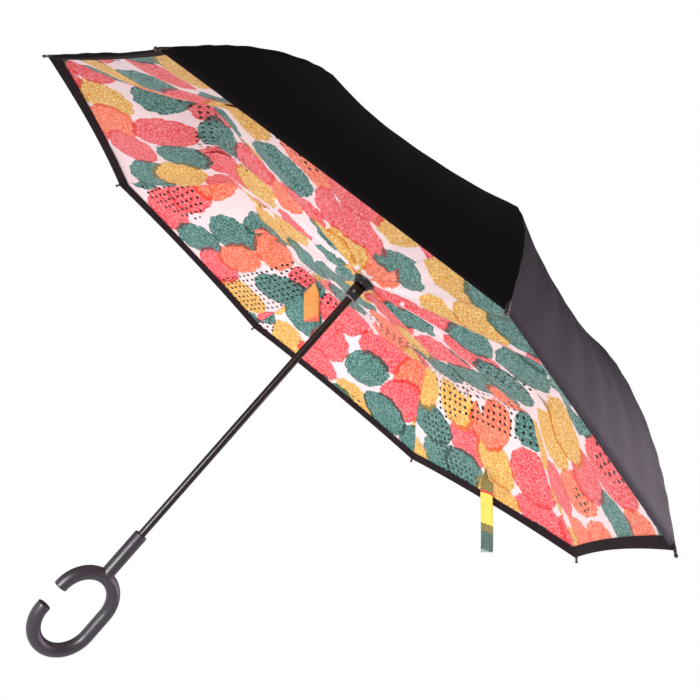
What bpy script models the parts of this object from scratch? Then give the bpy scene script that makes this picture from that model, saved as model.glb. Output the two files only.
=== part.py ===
"""Inverted umbrella, open, upright on its own axis, with the grip at the bottom.

Metres. +Z runs up the shaft to the canopy. The origin is at the centre of the C grip,
on the shaft axis. Rib 1 is at +X and the others follow anticlockwise, 45 degrees apart.
The grip stands upright, midway between ribs 2 and 3: its straight back is on their side
and its mouth is on the opposite side.
"""
import math

import bmesh
import bpy
from mathutils import Matrix, Vector
from mathutils.bvhtree import BVHTree

# Clearances and small working lengths
GAP = 0.0003
WELD = 0.00001
OVERCUT = 0.001

# Counts and angles
RIB_COUNT = 8
TURN_STEPS = 24
FINE_TURN_STEPS = 32
SMALL_TURN_STEPS = 10
EYE_STEPS = 10
END_STEPS = 6
GRIP_BEVEL_STEPS = 6
ROD_BEVEL_STEPS = 2
LIFT = math.radians(13.6)
SEAM_STEP = 2.0 * math.pi / RIB_COUNT

# C grip, neck and shaft. The mouth leaves a short straight run of tube above and below it.
GRIP_TUBE_R = 0.0096
GRIP_WIDTH = 0.0843
GRIP_HEIGHT = 0.1194
GRIP_TURN = math.radians(67.5)
GRIP_ARC_STEPS = 12
MOUTH_TOP_RUN = 0.00145
MOUTH_BOTTOM_RUN = 0.00485
END_ROUND = 0.0012
NECK_R = 0.0096
NECK_TOP_Z = 0.1331
NECK_ROUND = 0.0010
SHAFT_R = 0.0055
SHAFT_WALL = 0.0010
SHAFT_SEAT = 0.0550

# Height of the rim above the origin. The runner's, crown's and canopy's heights count from it.
RIM_Z = 0.5261

# Runner: sleeve, ring under the lining and slotted head above it
SLEEVE_R = 0.0095
SLEEVE_BOTTOM = 0.0430
SLEEVE_ROUND = 0.0008
RUNNER_RING_R = 0.0154
RUNNER_RING_BOTTOM = 0.0690
RUNNER_RING_TOP = 0.0778
RUNNER_RING_LIP = 0.0018
HEAD_R = 0.0155
RUNNER_HEAD_BOTTOM = 0.0802
RUNNER_HEAD_TOP = 0.0892
CORE_R = 0.0098
PIVOT_R = 0.0125
RIB_PIVOT_Z = 0.0850
WIRE_R = 0.0005
GROOVE_HALF = 0.0009

# Release button in the side of the sleeve
BUTTON_Z = 0.0560
BUTTON_HEIGHT = 0.0064
BUTTON_WIDTH = 0.0042
BUTTON_INNER_R = 0.0080
BUTTON_OUTER_R = 0.0106
POCKET_FLOOR_R = 0.0068

# Ribs: a straight bar hinged on the runner, then a flexible rod with a moulded tip
RIB_LENGTH = 0.2960
RIB_PAST_STRETCHER = 0.0160
ARM = RIB_LENGTH - RIB_PAST_STRETCHER
RIB_HALF_WIDTH = 0.0016
RIB_HALF_HEIGHT = 0.0018
EYE_R = 0.0020
EYE_HOLE_R = 0.0009
ROD_R = 0.0014
TIP_R = 0.0020
TIP_BALL_R = 0.0024
TIP_LENGTH = 0.0228
TIP_NECK = 0.0035
TIP_SOCKET = 0.0080
TIP_BALL_SHARES = ((0.7, 0.3), (1.0, 1.0), (0.7, 1.7))
TIP_WAIST_SHARES = (0.75, 0.4)

# Stretchers: hinged on the fixed crown, beside the ribs
STRETCHER_HALF_WIDTH = 0.0012
STRETCHER_HALF_HEIGHT = 0.0017
STRETCHER_HOLE_R = 0.0012

# Crown and top cap
CROWN_HALF = 0.0045
CROWN_COLLAR = 0.0100
CROWN_COLLAR_R = 0.0090
SHAFT_PAST_CROWN = 0.0120
CAP_LIFT = 0.0081
CAP_FLANGE_R = 0.0120
CAP_FLANGE = 0.0022
CAP_STEM_R = 0.0078
CAP_TOP_R = 0.0062
CAP_HEIGHT = 0.0330
CAP_ROUND = 0.0012

# Rod, from the rib's end: its reach and drop, and its bends as shares of them
ROD_REACH = 0.2185
ROD_DROP = 0.1520
ROD_SHARES = (
    (0.0000, 0.0000), (0.0549, 0.0191), (0.0915, 0.0289), (0.1236, 0.0230),
    (0.1739, -0.0105), (0.2838, -0.0921), (0.4211, -0.2197), (0.5584, -0.3697),
    (0.6957, -0.5474), (0.8467, -0.7664), (1.0000, -1.0000),
)
ROD_START_SHARE = 0.9
ROD_START_R_SHARE = 0.45

# Canopy along a rib. The roof is in shares of the way from the axis to the rib's end and
# from the rib's end up to the crown, and the side is in shares of the rod's reach and drop.
CLOTH = 0.0008
CANOPY_HOLE_R = 0.0070
CANOPY_OVER_CROWN = 0.0073872
OUTER_ROOF_SHARES = (
    (0.1999, 0.9548), (0.4664, 0.7081), (0.7328, 0.4613), (0.9993, 0.2081),
)
OUTER_SIDE_SHARES = (
    (0.0906, 0.0566), (0.1821, 0.0092), (0.2966, -0.0750), (0.4339, -0.2013),
    (0.5712, -0.3493), (0.7085, -0.5237), (0.8686, -0.7539), (1.0105, -0.9842),
)

# Lining along a rib, from the runner's groove up to the ties' ends and down to the hem
LINING_SEAT = 0.0787
LINING_HEM_UNDER = 0.0036
LINING_ROOF_SHARES = (
    (0.0366, 0.0000), (0.1999, 0.1784), (0.4331, 0.4201), (0.6995, 0.6877), (0.9660, 0.9182),
)
LINING_SIDE_SHARES = (
    (0.0906, 1.0000), (0.1364, 0.9850), (0.2279, 0.8593), (0.3652, 0.6660),
    (0.5254, 0.4784), (0.6856, 0.3189), (0.8458, 0.1595), (0.9991, 0.0000),
)

# Hem band: its outer edge goes past and under the rod's end, and it runs inward and up
HEM_OVER = 0.0018
HEM_UNDER = 0.0066
HEM_WIDTH = 0.0165
HEM_FALL = 0.0090
HEM_SHARES = ((1.0000, 1.0000), (0.4848, 0.4889), (0.0000, 0.0000))

# Between the ribs the cloth sags, and near the rim it also bows inward and up
HEM_BOW = 0.0060
HEM_RISE = 0.0030
BOW_START_SHARE = 0.75
OUTER_SAG = 0.0140
LINING_SAG = 0.0060
SAG_POWER = 1.8
CLOTH_STEPS = 4

# Ties that hang the lining from the rods. They are as wide as a rib, to clear the stretchers.
TIE_THICK = 0.0008
TIE_AT = 0.0250
TIE_TOP = 0.0019
TIE_LENGTH = 0.0509

# Straps: sewn under the lining along a radial line, then hanging as in the photograph
STRAP_THICK = 0.0012
STRAP_STAGES = 7
STRAP_TURN_SHARE = 0.4
DOWN_SHARES = (0.4742, 0.4788, -0.7388)
ACROSS_SHARES = (0.6521, 0.3728, 0.6602)
RIM_STRAP_AT = 0.4150
RIM_STRAP_ANGLE = math.radians(64.3)
RIM_STRAP_LENGTH = 0.1300
RIM_STRAP_HALF = 0.0100
MID_STRAP_AT = 0.3330
MID_STRAP_ANGLE = math.radians(135.0)
MID_STRAP_LENGTH = 0.0640
MID_STRAP_HALF = 0.0140

MATERIALS = {
    "grip_plastic": ((0.060, 0.053, 0.058, 1.0), 0.38, 0.0),
    "black_plastic": ((0.012, 0.011, 0.012, 1.0), 0.25, 0.0),
    "shaft_metal": ((0.014, 0.012, 0.013, 1.0), 0.35, 0.6),
    "rib_steel": ((0.020, 0.020, 0.022, 1.0), 0.40, 0.8),
    "rod_fibre": ((0.015, 0.015, 0.016, 1.0), 0.45, 0.0),
    "wire_steel": ((0.45, 0.45, 0.46, 1.0), 0.30, 1.0),
    "outer_cloth": ((0.008, 0.007, 0.008, 1.0), 0.75, 0.0),
    "hem_cloth": ((0.040, 0.032, 0.036, 1.0), 0.80, 0.0),
    "lining_cloth": ((0.780, 0.420, 0.290, 1.0), 0.80, 0.0),
    "strap_cloth": ((0.830, 0.550, 0.150, 1.0), 0.80, 0.0),
    "tie_tape": ((0.020, 0.018, 0.019, 1.0), 0.85, 0.0),
}


def clear_scene():
    for obj in list(bpy.data.objects):
        bpy.data.objects.remove(obj, do_unlink=True)


def new_collection(name):
    collection = bpy.data.collections.new(name)
    bpy.context.scene.collection.children.link(collection)
    return collection


clear_scene()
PARTS = new_collection("inverted_umbrella")
CUTTERS = new_collection("cutters")


def material(name):
    found = bpy.data.materials.get(name)
    if found:
        return found
    colour, roughness, metallic = MATERIALS[name]
    made = bpy.data.materials.new(name)
    made.use_nodes = True
    made.diffuse_color = colour
    shader = made.node_tree.nodes["Principled BSDF"]
    shader.inputs["Base Color"].default_value = colour
    shader.inputs["Roughness"].default_value = roughness
    shader.inputs["Metallic"].default_value = metallic
    return made


def add_part(name, data, material_name):
    obj = bpy.data.objects.new(name, data)
    PARTS.objects.link(obj)
    data.materials.append(material(material_name))
    return obj


def add_cutter(name, data):
    obj = bpy.data.objects.new(name, data)
    CUTTERS.objects.link(obj)
    obj.hide_render = True
    obj.display_type = "WIRE"
    return obj


def cut(target, cutter):
    step = target.modifiers.new(cutter.name, "BOOLEAN")
    step.operation = "DIFFERENCE"
    step.solver = "EXACT"
    step.object = cutter


def profile_mesh(name, points, closed):
    mesh = bpy.data.meshes.new(name)
    count = len(points)
    edges = [(i, i + 1) for i in range(count - 1)]
    if closed:
        edges.append((count - 1, 0))
    mesh.from_pydata([(r, 0.0, z) for r, z in points], edges, [])
    return mesh


def turned(name, points, material_name, closed=False, steps=TURN_STEPS):
    """Turn a profile about Z. It runs from the top down the outer side."""
    obj = add_part(name, profile_mesh(name, points, closed), material_name)
    spin(obj, steps)
    return obj


def turned_cutter(name, points):
    obj = add_cutter(name, profile_mesh(name, points, False))
    spin(obj, TURN_STEPS)
    return obj


def spin(obj, steps):
    turn = obj.modifiers.new("turn", "SCREW")
    turn.axis = "Z"
    turn.angle = 2.0 * math.pi
    turn.steps = steps
    turn.render_steps = steps
    turn.use_merge_vertices = True
    turn.merge_threshold = WELD


def box_mesh(name, boxes):
    """One mesh of boxes, each given by its low corner, high corner and turn about Z."""
    bm = bmesh.new()
    for low, high, angle in boxes:
        size = Vector(high) - Vector(low)
        middle = (Vector(high) + Vector(low)) / 2.0
        place = Matrix.Rotation(angle, 4, "Z") @ Matrix.Translation(middle)
        place = place @ Matrix.Diagonal((size.x, size.y, size.z, 1.0))
        bmesh.ops.create_cube(bm, size=1.0, matrix=place)
    mesh = bpy.data.meshes.new(name)
    bm.to_mesh(mesh)
    bm.free()
    return mesh


def rib_plane(radius, height, angle, sideways=0.0, tilt=0.0):
    """Place with local X outward, local Y up and local Z across the rib."""
    place = Matrix.Rotation(angle, 4, "Z")
    place = place @ Matrix.Translation((radius, sideways, height))
    place = place @ Matrix.Rotation(math.pi / 2.0, 4, "X")
    return place @ Matrix.Rotation(tilt, 4, "Z")


def outline_curve(name, loops, half_depth):
    curve = bpy.data.curves.new(name, "CURVE")
    curve.dimensions = "2D"
    curve.fill_mode = "BOTH"
    curve.extrude = half_depth
    for loop in loops:
        spline = curve.splines.new("POLY")
        spline.points.add(len(loop) - 1)
        for point, (x, y) in zip(spline.points, loop):
            point.co = (x, y, 0.0, 1.0)
        spline.use_cyclic_u = True
    return curve


def arc(centre_x, centre_y, radius, start, end, steps):
    points = []
    for i in range(steps + 1):
        angle = start + (end - start) * i / steps
        points.append((centre_x + radius * math.cos(angle), centre_y + radius * math.sin(angle)))
    return points


def bar_loops(length, eye_r, half_height, hole_r, outer_round):
    """Outline of a bar along +X with an eye at the origin."""
    lean = math.asin(half_height / eye_r)
    eye = arc(0.0, 0.0, eye_r, lean, 2.0 * math.pi - lean, EYE_STEPS)
    if outer_round:
        end = arc(length, 0.0, half_height, -math.pi / 2.0, math.pi / 2.0, END_STEPS)
    else:
        end = [(length, -half_height), (length, half_height)]
    hole = arc(0.0, 0.0, hole_r, 0.0, 2.0 * math.pi, EYE_STEPS)[:-1]
    return [eye + end, hole]


def tube_curve(name, points, radius, resolution, radii=None):
    curve = bpy.data.curves.new(name, "CURVE")
    curve.dimensions = "3D"
    curve.bevel_depth = radius
    curve.bevel_resolution = resolution
    curve.use_fill_caps = True
    spline = curve.splines.new("POLY")
    spline.points.add(len(points) - 1)
    for i, point in enumerate(points):
        spline.points[i].co = (point[0], point[1], point[2], 1.0)
        if radii:
            spline.points[i].radius = radii[i]
    return curve


def curve_to_mesh(name, curve):
    """Turn a curve into a mesh with its caps welded on."""
    holder = bpy.data.objects.new(name + "_curve", curve)
    CUTTERS.objects.link(holder)
    depsgraph = bpy.context.evaluated_depsgraph_get()
    mesh = bpy.data.meshes.new_from_object(holder.evaluated_get(depsgraph))
    bpy.data.objects.remove(holder, do_unlink=True)
    bm = bmesh.new()
    bm.from_mesh(mesh)
    bmesh.ops.remove_doubles(bm, verts=bm.verts, dist=WELD)
    bmesh.ops.recalc_face_normals(bm, faces=bm.faces)
    bm.to_mesh(mesh)
    bm.free()
    mesh.name = name
    mesh.materials.clear()
    return mesh


def grip_path():
    """Middle line of the C grip, from the upper end of the mouth round to the lower."""
    radius = GRIP_WIDTH / 2.0
    straight = GRIP_HEIGHT / 2.0 - radius
    top = arc(0.0, straight, radius, math.pi, 0.0, GRIP_ARC_STEPS)
    bottom = arc(0.0, -straight, radius, 0.0, -math.pi, GRIP_ARC_STEPS)
    mouth_top = straight - MOUTH_TOP_RUN
    mouth_bottom = MOUTH_BOTTOM_RUN - straight
    upper_end = [(-radius, mouth_top), (-radius, mouth_top + END_ROUND)]
    lower_end = [(-radius, mouth_bottom - END_ROUND), (-radius, mouth_bottom)]
    return upper_end + top + bottom + lower_end


def make_handle():
    back_x = math.cos(GRIP_TURN)
    back_y = math.sin(GRIP_TURN)
    path = [(out * back_x, out * back_y, z) for out, z in grip_path()]
    edge_share = 1.0 - END_ROUND / GRIP_TUBE_R
    radii = [edge_share] + [1.0] * (len(path) - 2) + [edge_share]
    grip = curve_to_mesh("handle", tube_curve("grip", path, GRIP_TUBE_R, GRIP_BEVEL_STEPS, radii))
    handle = add_part("handle", grip, "grip_plastic")
    neck_bottom = GRIP_HEIGHT / 2.0
    join = handle.modifiers.new("neck", "BOOLEAN")
    join.operation = "UNION"
    join.solver = "EXACT"
    join.object = turned_cutter("neck", [
        (0.0, NECK_TOP_Z), (NECK_R - NECK_ROUND, NECK_TOP_Z),
        (NECK_R, NECK_TOP_Z - NECK_ROUND), (NECK_R, neck_bottom), (0.0, neck_bottom),
    ])
    bore_r = SHAFT_R + GAP
    bore_floor = NECK_TOP_Z - SHAFT_SEAT - GAP
    cut(handle, turned_cutter("bore", [
        (0.0, NECK_TOP_Z + OVERCUT), (bore_r, NECK_TOP_Z + OVERCUT),
        (bore_r, bore_floor), (0.0, bore_floor),
    ]))


def crown_z():
    """Height of the stretcher pivots above the rim."""
    return RIB_PIVOT_Z + 2.0 * ARM * math.sin(LIFT)


def make_shaft():
    top = RIM_Z + crown_z() + SHAFT_PAST_CROWN
    bottom = NECK_TOP_Z - SHAFT_SEAT
    inner = SHAFT_R - SHAFT_WALL
    turned("shaft", [(inner, top), (SHAFT_R, top), (SHAFT_R, bottom), (inner, bottom)],
           "shaft_metal", closed=True)


def slot_cutter(name, low_z, high_z, centre, half_width):
    reach = HEAD_R + OVERCUT
    boxes = []
    for k in range(RIB_COUNT):
        low = (CORE_R, centre - half_width, low_z)
        high = (reach, centre + half_width, high_z)
        boxes.append((low, high, k * SEAM_STEP))
    return add_cutter(name, box_mesh(name, boxes))


def make_runner():
    bore = SHAFT_R + GAP
    base = RIM_Z
    head_top = base + RUNNER_HEAD_TOP
    head_bottom = base + RUNNER_HEAD_BOTTOM
    groove_in = PIVOT_R - GROOVE_HALF
    groove_out = PIVOT_R + GROOVE_HALF
    groove_floor = base + RIB_PIVOT_Z - WIRE_R - GAP
    bottom = base + SLEEVE_BOTTOM
    sleeve = turned("runner_sleeve", [
        (bore, head_top), (groove_in, head_top), (groove_in, groove_floor),
        (groove_out, groove_floor), (groove_out, head_top), (HEAD_R, head_top),
        (HEAD_R, head_bottom), (SLEEVE_R, head_bottom),
        (SLEEVE_R, bottom + SLEEVE_ROUND), (SLEEVE_R - SLEEVE_ROUND, bottom),
        (bore, bottom),
    ], "black_plastic", closed=True, steps=FINE_TURN_STEPS)
    half_slot = RIB_HALF_WIDTH + GAP
    low = base + RIB_PIVOT_Z - EYE_R - GAP
    cut(sleeve, slot_cutter("runner_slots", low, head_top + OVERCUT, 0.0, half_slot))
    half_width = BUTTON_WIDTH / 2.0 + GAP
    half_height = BUTTON_HEIGHT / 2.0 + GAP
    pocket = box_mesh("button_pocket", [(
        (-SLEEVE_R - OVERCUT, -half_width, base + BUTTON_Z - half_height),
        (-POCKET_FLOOR_R, half_width, base + BUTTON_Z + half_height), 0.0)])
    cut(sleeve, add_cutter("button_pocket", pocket))


def make_runner_ring():
    bore = SLEEVE_R + GAP
    top = RIM_Z + RUNNER_RING_TOP
    bottom = RIM_Z + RUNNER_RING_BOTTOM
    lip = RUNNER_RING_LIP
    waist = RUNNER_RING_R - 2.0 * lip
    turned("runner_ring", [
        (bore, top), (RUNNER_RING_R - lip, top), (RUNNER_RING_R, top - lip / 2.0),
        (RUNNER_RING_R, top - lip), (RUNNER_RING_R - lip / 2.0, top - 2.0 * lip),
        (waist, bottom + lip / 2.0), (waist - lip / 2.0, bottom), (bore, bottom),
    ], "black_plastic", closed=True, steps=FINE_TURN_STEPS)


def make_wire(name, radius, height):
    points = arc(radius, height, WIRE_R, 0.0, 2.0 * math.pi, END_STEPS)[:-1]
    turned(name, points[::-1], "wire_steel", closed=True, steps=FINE_TURN_STEPS)


def make_button():
    half_width = BUTTON_WIDTH / 2.0
    half_height = BUTTON_HEIGHT / 2.0
    z = RIM_Z + BUTTON_Z
    middle = Vector((-(BUTTON_INNER_R + BUTTON_OUTER_R) / 2.0, 0.0, z))
    mesh = box_mesh("runner_button", [(
        (-BUTTON_OUTER_R - middle.x, -half_width, -half_height),
        (-BUTTON_INNER_R - middle.x, half_width, half_height), 0.0)])
    button = add_part("runner_button", mesh, "black_plastic")
    button.location = middle
    edge = button.modifiers.new("edge", "BEVEL")
    edge.width = GAP
    edge.segments = 1


def make_crown():
    z = RIM_Z + crown_z()
    bore = SHAFT_R + GAP
    top = z + CROWN_HALF
    bottom = z - CROWN_HALF
    wire_r = crown_wire_radius()
    groove_in = wire_r - GROOVE_HALF
    groove_out = wire_r + GROOVE_HALF
    groove_roof = z + WIRE_R + GAP
    crown = turned("crown", [
        (bore, top), (HEAD_R, top), (HEAD_R, bottom), (groove_out, bottom),
        (groove_out, groove_roof), (groove_in, groove_roof), (groove_in, bottom),
        (CROWN_COLLAR_R, bottom), (CROWN_COLLAR_R, bottom - CROWN_COLLAR),
        (bore, bottom - CROWN_COLLAR),
    ], "black_plastic", closed=True, steps=FINE_TURN_STEPS)
    high = z + EYE_R + GAP
    cut(crown, slot_cutter("crown_slots", bottom - OVERCUT, high, stretcher_side(),
                           STRETCHER_HALF_WIDTH + GAP))


def stretcher_side():
    return RIB_HALF_WIDTH + GAP + STRETCHER_HALF_WIDTH


def crown_wire_radius():
    return math.hypot(PIVOT_R, stretcher_side())


def make_cap():
    base = RIM_Z + crown_z() + CAP_LIFT
    top = base + CAP_HEIGHT
    bore = SHAFT_R + GAP
    roof = RIM_Z + crown_z() + SHAFT_PAST_CROWN + GAP
    turned("top_cap", [
        (0.0, top), (CAP_TOP_R - CAP_ROUND, top), (CAP_TOP_R, top - CAP_ROUND),
        (CAP_STEM_R, base + 2.0 * CAP_FLANGE), (CAP_FLANGE_R, base + CAP_FLANGE),
        (CAP_FLANGE_R, base), (bore, base), (bore, roof), (0.0, roof),
    ], "black_plastic")


def make_rib(k):
    angle = k * SEAM_STEP
    loops = bar_loops(RIB_LENGTH - ROD_R - GAP, EYE_R, RIB_HALF_HEIGHT, EYE_HOLE_R, False)
    curve = outline_curve("rib_%d" % (k + 1), loops, RIB_HALF_WIDTH)
    rib = add_part("rib_%d" % (k + 1), curve, "rib_steel")
    rib.matrix_world = rib_plane(PIVOT_R, RIM_Z + RIB_PIVOT_Z, angle, 0.0, LIFT)


def make_stretcher(k):
    angle = k * SEAM_STEP
    loops = bar_loops(ARM, EYE_R, STRETCHER_HALF_HEIGHT, STRETCHER_HOLE_R, True)
    curve = outline_curve("stretcher_%d" % (k + 1), loops, STRETCHER_HALF_WIDTH)
    bar = add_part("stretcher_%d" % (k + 1), curve, "rib_steel")
    bar.matrix_world = rib_plane(PIVOT_R, RIM_Z + crown_z(), angle, stretcher_side(), -LIFT)


def flex_point():
    """The rib's end, where the rod starts: distance from the axis and height above the rim."""
    return (PIVOT_R + RIB_LENGTH * math.cos(LIFT), RIB_PIVOT_Z + RIB_LENGTH * math.sin(LIFT))


def rod_points():
    """The rod's middle line, from the rib's end, outward and up."""
    return [(x * ROD_REACH, y * ROD_DROP) for x, y in ROD_SHARES]


def make_rod(k):
    radius, height = flex_point()
    back = ROD_R * ROD_START_SHARE
    start = (-back * math.cos(LIFT), -back * math.sin(LIFT), 0.0)
    points = [start] + [(x, y, 0.0) for x, y in rod_points()]
    radii = [ROD_START_R_SHARE] + [1.0] * (len(points) - 1)
    name = "rod_%d" % (k + 1)
    rod = add_part(name, tube_curve(name, points, ROD_R, ROD_BEVEL_STEPS, radii), "rod_fibre")
    rod.matrix_world = rib_plane(radius, RIM_Z + height, k * SEAM_STEP)
    return rod


def tip_profile():
    """Half outline of a tip, from the point of its ball down to its socket."""
    points = [(0.0, TIP_LENGTH)]
    for out, down in TIP_BALL_SHARES:
        points.append((TIP_BALL_R * out, TIP_LENGTH - TIP_BALL_R * down))
    ball_end = points[-1][1]
    waist, neck = TIP_WAIST_SHARES
    bore = ROD_R + GAP
    floor = TIP_SOCKET + GAP
    points += [(TIP_R * waist, ball_end - TIP_NECK * neck), (TIP_R, ball_end - TIP_NECK)]
    return points + [(TIP_R, 0.0), (bore, 0.0), (bore, floor), (0.0, floor)]


def make_tip(k, rod):
    before, end = [Vector((x, y, 0.0)) for x, y in rod_points()[-2:]]
    along = (end - before).normalized()
    tip = turned("tip_%d" % (k + 1), tip_profile(), "black_plastic", steps=SMALL_TURN_STEPS)
    tip.parent = rod
    lean = Vector((0.0, 0.0, 1.0)).rotation_difference(along).to_matrix().to_4x4()
    tip.matrix_local = Matrix.Translation(end - along * TIP_SOCKET) @ lean


def make_tie(k):
    radius, height = flex_point()
    low = (TIE_AT - TIE_THICK / 2.0, TIE_TOP - TIE_LENGTH, -RIB_HALF_WIDTH)
    high = (TIE_AT + TIE_THICK / 2.0, TIE_TOP, RIB_HALF_WIDTH)
    name = "lining_tie_%d" % (k + 1)
    tie = add_part(name, box_mesh(name, [(low, high, 0.0)]), "tie_tape")
    tie.matrix_world = rib_plane(radius, RIM_Z + height, k * SEAM_STEP)


def outer_line():
    """The outer canopy along a rib: distance from the axis and height above the rim."""
    flex_r, flex_z = flex_point()
    rise = crown_z() - flex_z
    seat = [(CANOPY_HOLE_R, crown_z() + CANOPY_OVER_CROWN)]
    roof = [(flex_r * out, flex_z + rise * up) for out, up in OUTER_ROOF_SHARES]
    side = [(flex_r + ROD_REACH * out, flex_z + ROD_DROP * up) for out, up in OUTER_SIDE_SHARES]
    return seat + roof + side


def lining_line():
    flex_r, flex_z = flex_point()
    hem = flex_z - ROD_DROP - LINING_HEM_UNDER
    knuckle = flex_z + TIE_TOP - TIE_LENGTH
    rise = knuckle - LINING_SEAT
    roof = [(flex_r * out, LINING_SEAT + rise * up) for out, up in LINING_ROOF_SHARES]
    fall = knuckle - hem
    side = [(flex_r + ROD_REACH * out, hem + fall * up) for out, up in LINING_SIDE_SHARES]
    return roof + side


def hem_reach():
    return flex_point()[0] + ROD_REACH + HEM_OVER


def hem_line():
    edge = flex_point()[1] - ROD_DROP - HEM_UNDER
    reach = hem_reach()
    return [(reach - HEM_WIDTH * back, edge + HEM_FALL * up) for back, up in HEM_SHARES]


def cloth_row(radius, height, sag):
    """One row round the umbrella, straight between the ribs apart from its sag and bow."""
    at = radius / hem_reach()
    drop = sag * math.sin(math.pi * at ** SAG_POWER)
    bow = max(0.0, (at - BOW_START_SHARE) / (1.0 - BOW_START_SHARE)) ** 2
    row = []
    for k in range(RIB_COUNT):
        first = Vector((math.cos(k * SEAM_STEP), math.sin(k * SEAM_STEP), 0.0)) * radius
        second = Matrix.Rotation(SEAM_STEP, 3, "Z") @ first
        middle = (first + second).normalized()
        for j in range(CLOTH_STEPS):
            t = j / CLOTH_STEPS
            belly = 4.0 * t * (1.0 - t)
            point = first.lerp(second, t) - middle * (HEM_BOW * bow * belly)
            rise = (HEM_RISE * bow - drop) * belly
            row.append((point.x, point.y, RIM_Z + height + rise))
    return row


def cloth_grid(line, sag):
    """Vertices and four-sided faces of the closed rows along a line."""
    rows = [cloth_row(radius, height, sag) for radius, height in line]
    around = len(rows[0])
    vertices = [point for row in rows for point in row]
    faces = []
    for i in range(len(rows) - 1):
        for j in range(around):
            after = (j + 1) % around
            faces.append((i * around + j, (i + 1) * around + j,
                          (i + 1) * around + after, i * around + after))
    return vertices, faces


def make_cloth(name, line, sag, material_name):
    vertices, faces = cloth_grid(line, sag)
    mesh = bpy.data.meshes.new(name)
    mesh.from_pydata(vertices, [], faces)
    cloth = add_part(name, mesh, material_name)
    thick = cloth.modifiers.new("thickness", "SOLIDIFY")
    thick.thickness = CLOTH
    thick.offset = 0.0
    thick.use_even_offset = False


def lining_tree():
    """The lining's middle surface, to seat the straps on."""
    vertices, faces = cloth_grid(lining_line(), LINING_SAG)
    return BVHTree.FromPolygons(vertices, faces)


def under_lining(tree, radius, angle):
    """The point just under the lining at a radius and an angle."""
    below = Vector((radius * math.cos(angle), radius * math.sin(angle), 0.0))
    place, normal, index, distance = tree.ray_cast(below, Vector((0.0, 0.0, 1.0)))
    drop = (CLOTH / 2.0 + GAP + STRAP_THICK / 2.0) / abs(normal.z)
    return place - Vector((0.0, 0.0, drop))


def make_strap(name, tree, radius, angle, length, half_width):
    """A band sewn on along a radial line, turning to hang straight down."""
    down = Vector(DOWN_SHARES).normalized()
    inner = under_lining(tree, radius - half_width, angle)
    outer = under_lining(tree, radius + half_width, angle)
    root = (inner + outer) / 2.0
    sewn = (outer - inner).normalized()
    hanging = Vector(ACROSS_SHARES)
    if sewn.dot(hanging) < 0.0:
        hanging = -hanging
    vertices = []
    for i in range(STRAP_STAGES + 1):
        share = i / STRAP_STAGES
        turned_share = min(1.0, share / STRAP_TURN_SHARE)
        across = sewn.lerp(hanging, turned_share).normalized() * half_width
        centre = down * (length * share)
        vertices.append(tuple(centre - across))
        vertices.append(tuple(centre + across))
    faces = [(2 * i, 2 * i + 1, 2 * i + 3, 2 * i + 2) for i in range(STRAP_STAGES)]
    mesh = bpy.data.meshes.new(name)
    mesh.from_pydata(vertices, [], faces)
    strap = add_part(name, mesh, "strap_cloth")
    strap.location = root
    thick = strap.modifiers.new("thickness", "SOLIDIFY")
    thick.thickness = STRAP_THICK
    thick.offset = 0.0


make_handle()
make_shaft()
make_runner()
make_runner_ring()
make_wire("runner_wire", PIVOT_R, RIM_Z + RIB_PIVOT_Z)
make_button()
make_crown()
make_wire("crown_wire", crown_wire_radius(), RIM_Z + crown_z())
make_cap()
for index in range(RIB_COUNT):
    make_rib(index)
    make_stretcher(index)
    make_tip(index, make_rod(index))
    make_tie(index)
make_cloth("outer_canopy", outer_line(), OUTER_SAG, "outer_cloth")
make_cloth("lining", lining_line(), LINING_SAG, "lining_cloth")
make_cloth("hem_band", hem_line(), LINING_SAG, "hem_cloth")
lining_surface = lining_tree()
make_strap("rim_strap", lining_surface, RIM_STRAP_AT, RIM_STRAP_ANGLE,
           RIM_STRAP_LENGTH, RIM_STRAP_HALF)
make_strap("mid_strap", lining_surface, MID_STRAP_AT, MID_STRAP_ANGLE,
           MID_STRAP_LENGTH, MID_STRAP_HALF)
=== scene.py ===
import math

import bmesh
import bpy
import numpy as np
from mathutils import Matrix, Vector


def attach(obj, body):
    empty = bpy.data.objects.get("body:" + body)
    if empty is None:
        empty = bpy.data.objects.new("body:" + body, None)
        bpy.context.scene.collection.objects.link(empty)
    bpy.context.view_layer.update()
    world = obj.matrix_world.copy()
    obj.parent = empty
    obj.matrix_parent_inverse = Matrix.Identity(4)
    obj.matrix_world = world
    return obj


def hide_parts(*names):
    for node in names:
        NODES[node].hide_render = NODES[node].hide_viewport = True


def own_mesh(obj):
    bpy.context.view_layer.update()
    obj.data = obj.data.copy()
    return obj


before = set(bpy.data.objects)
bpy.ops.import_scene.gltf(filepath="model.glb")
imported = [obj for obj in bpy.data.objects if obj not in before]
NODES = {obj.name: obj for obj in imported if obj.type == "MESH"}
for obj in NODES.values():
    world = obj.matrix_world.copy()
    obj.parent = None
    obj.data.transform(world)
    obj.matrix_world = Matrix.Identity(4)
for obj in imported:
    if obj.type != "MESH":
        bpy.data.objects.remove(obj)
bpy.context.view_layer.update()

# The frame's own sizes, in metres. The heights of pivots, of the cloths' lines and of the runner's
# outlines are above RIM_Z.
RIBS = 8
STEP = 2.0 * math.pi / RIBS
LIFT = math.radians(13.6)
RIM_Z = 0.5261
PIVOT_R = 0.0125
RIB_PIVOT_Z = 0.0850
ARM = 0.2800
RIB_LENGTH = 0.2960
FLEX_R = PIVOT_R + RIB_LENGTH * math.cos(LIFT)
FLEX_Z = RIB_PIVOT_Z + RIB_LENGTH * math.sin(LIFT)
ELBOW_R = PIVOT_R + ARM * math.cos(LIFT)
CROWN_Z = RIM_Z + RIB_PIVOT_Z + 2.0 * ARM * math.sin(LIFT)
HEM_REACH = 0.5205
STRAIGHTEN = math.radians(43.1)

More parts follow.
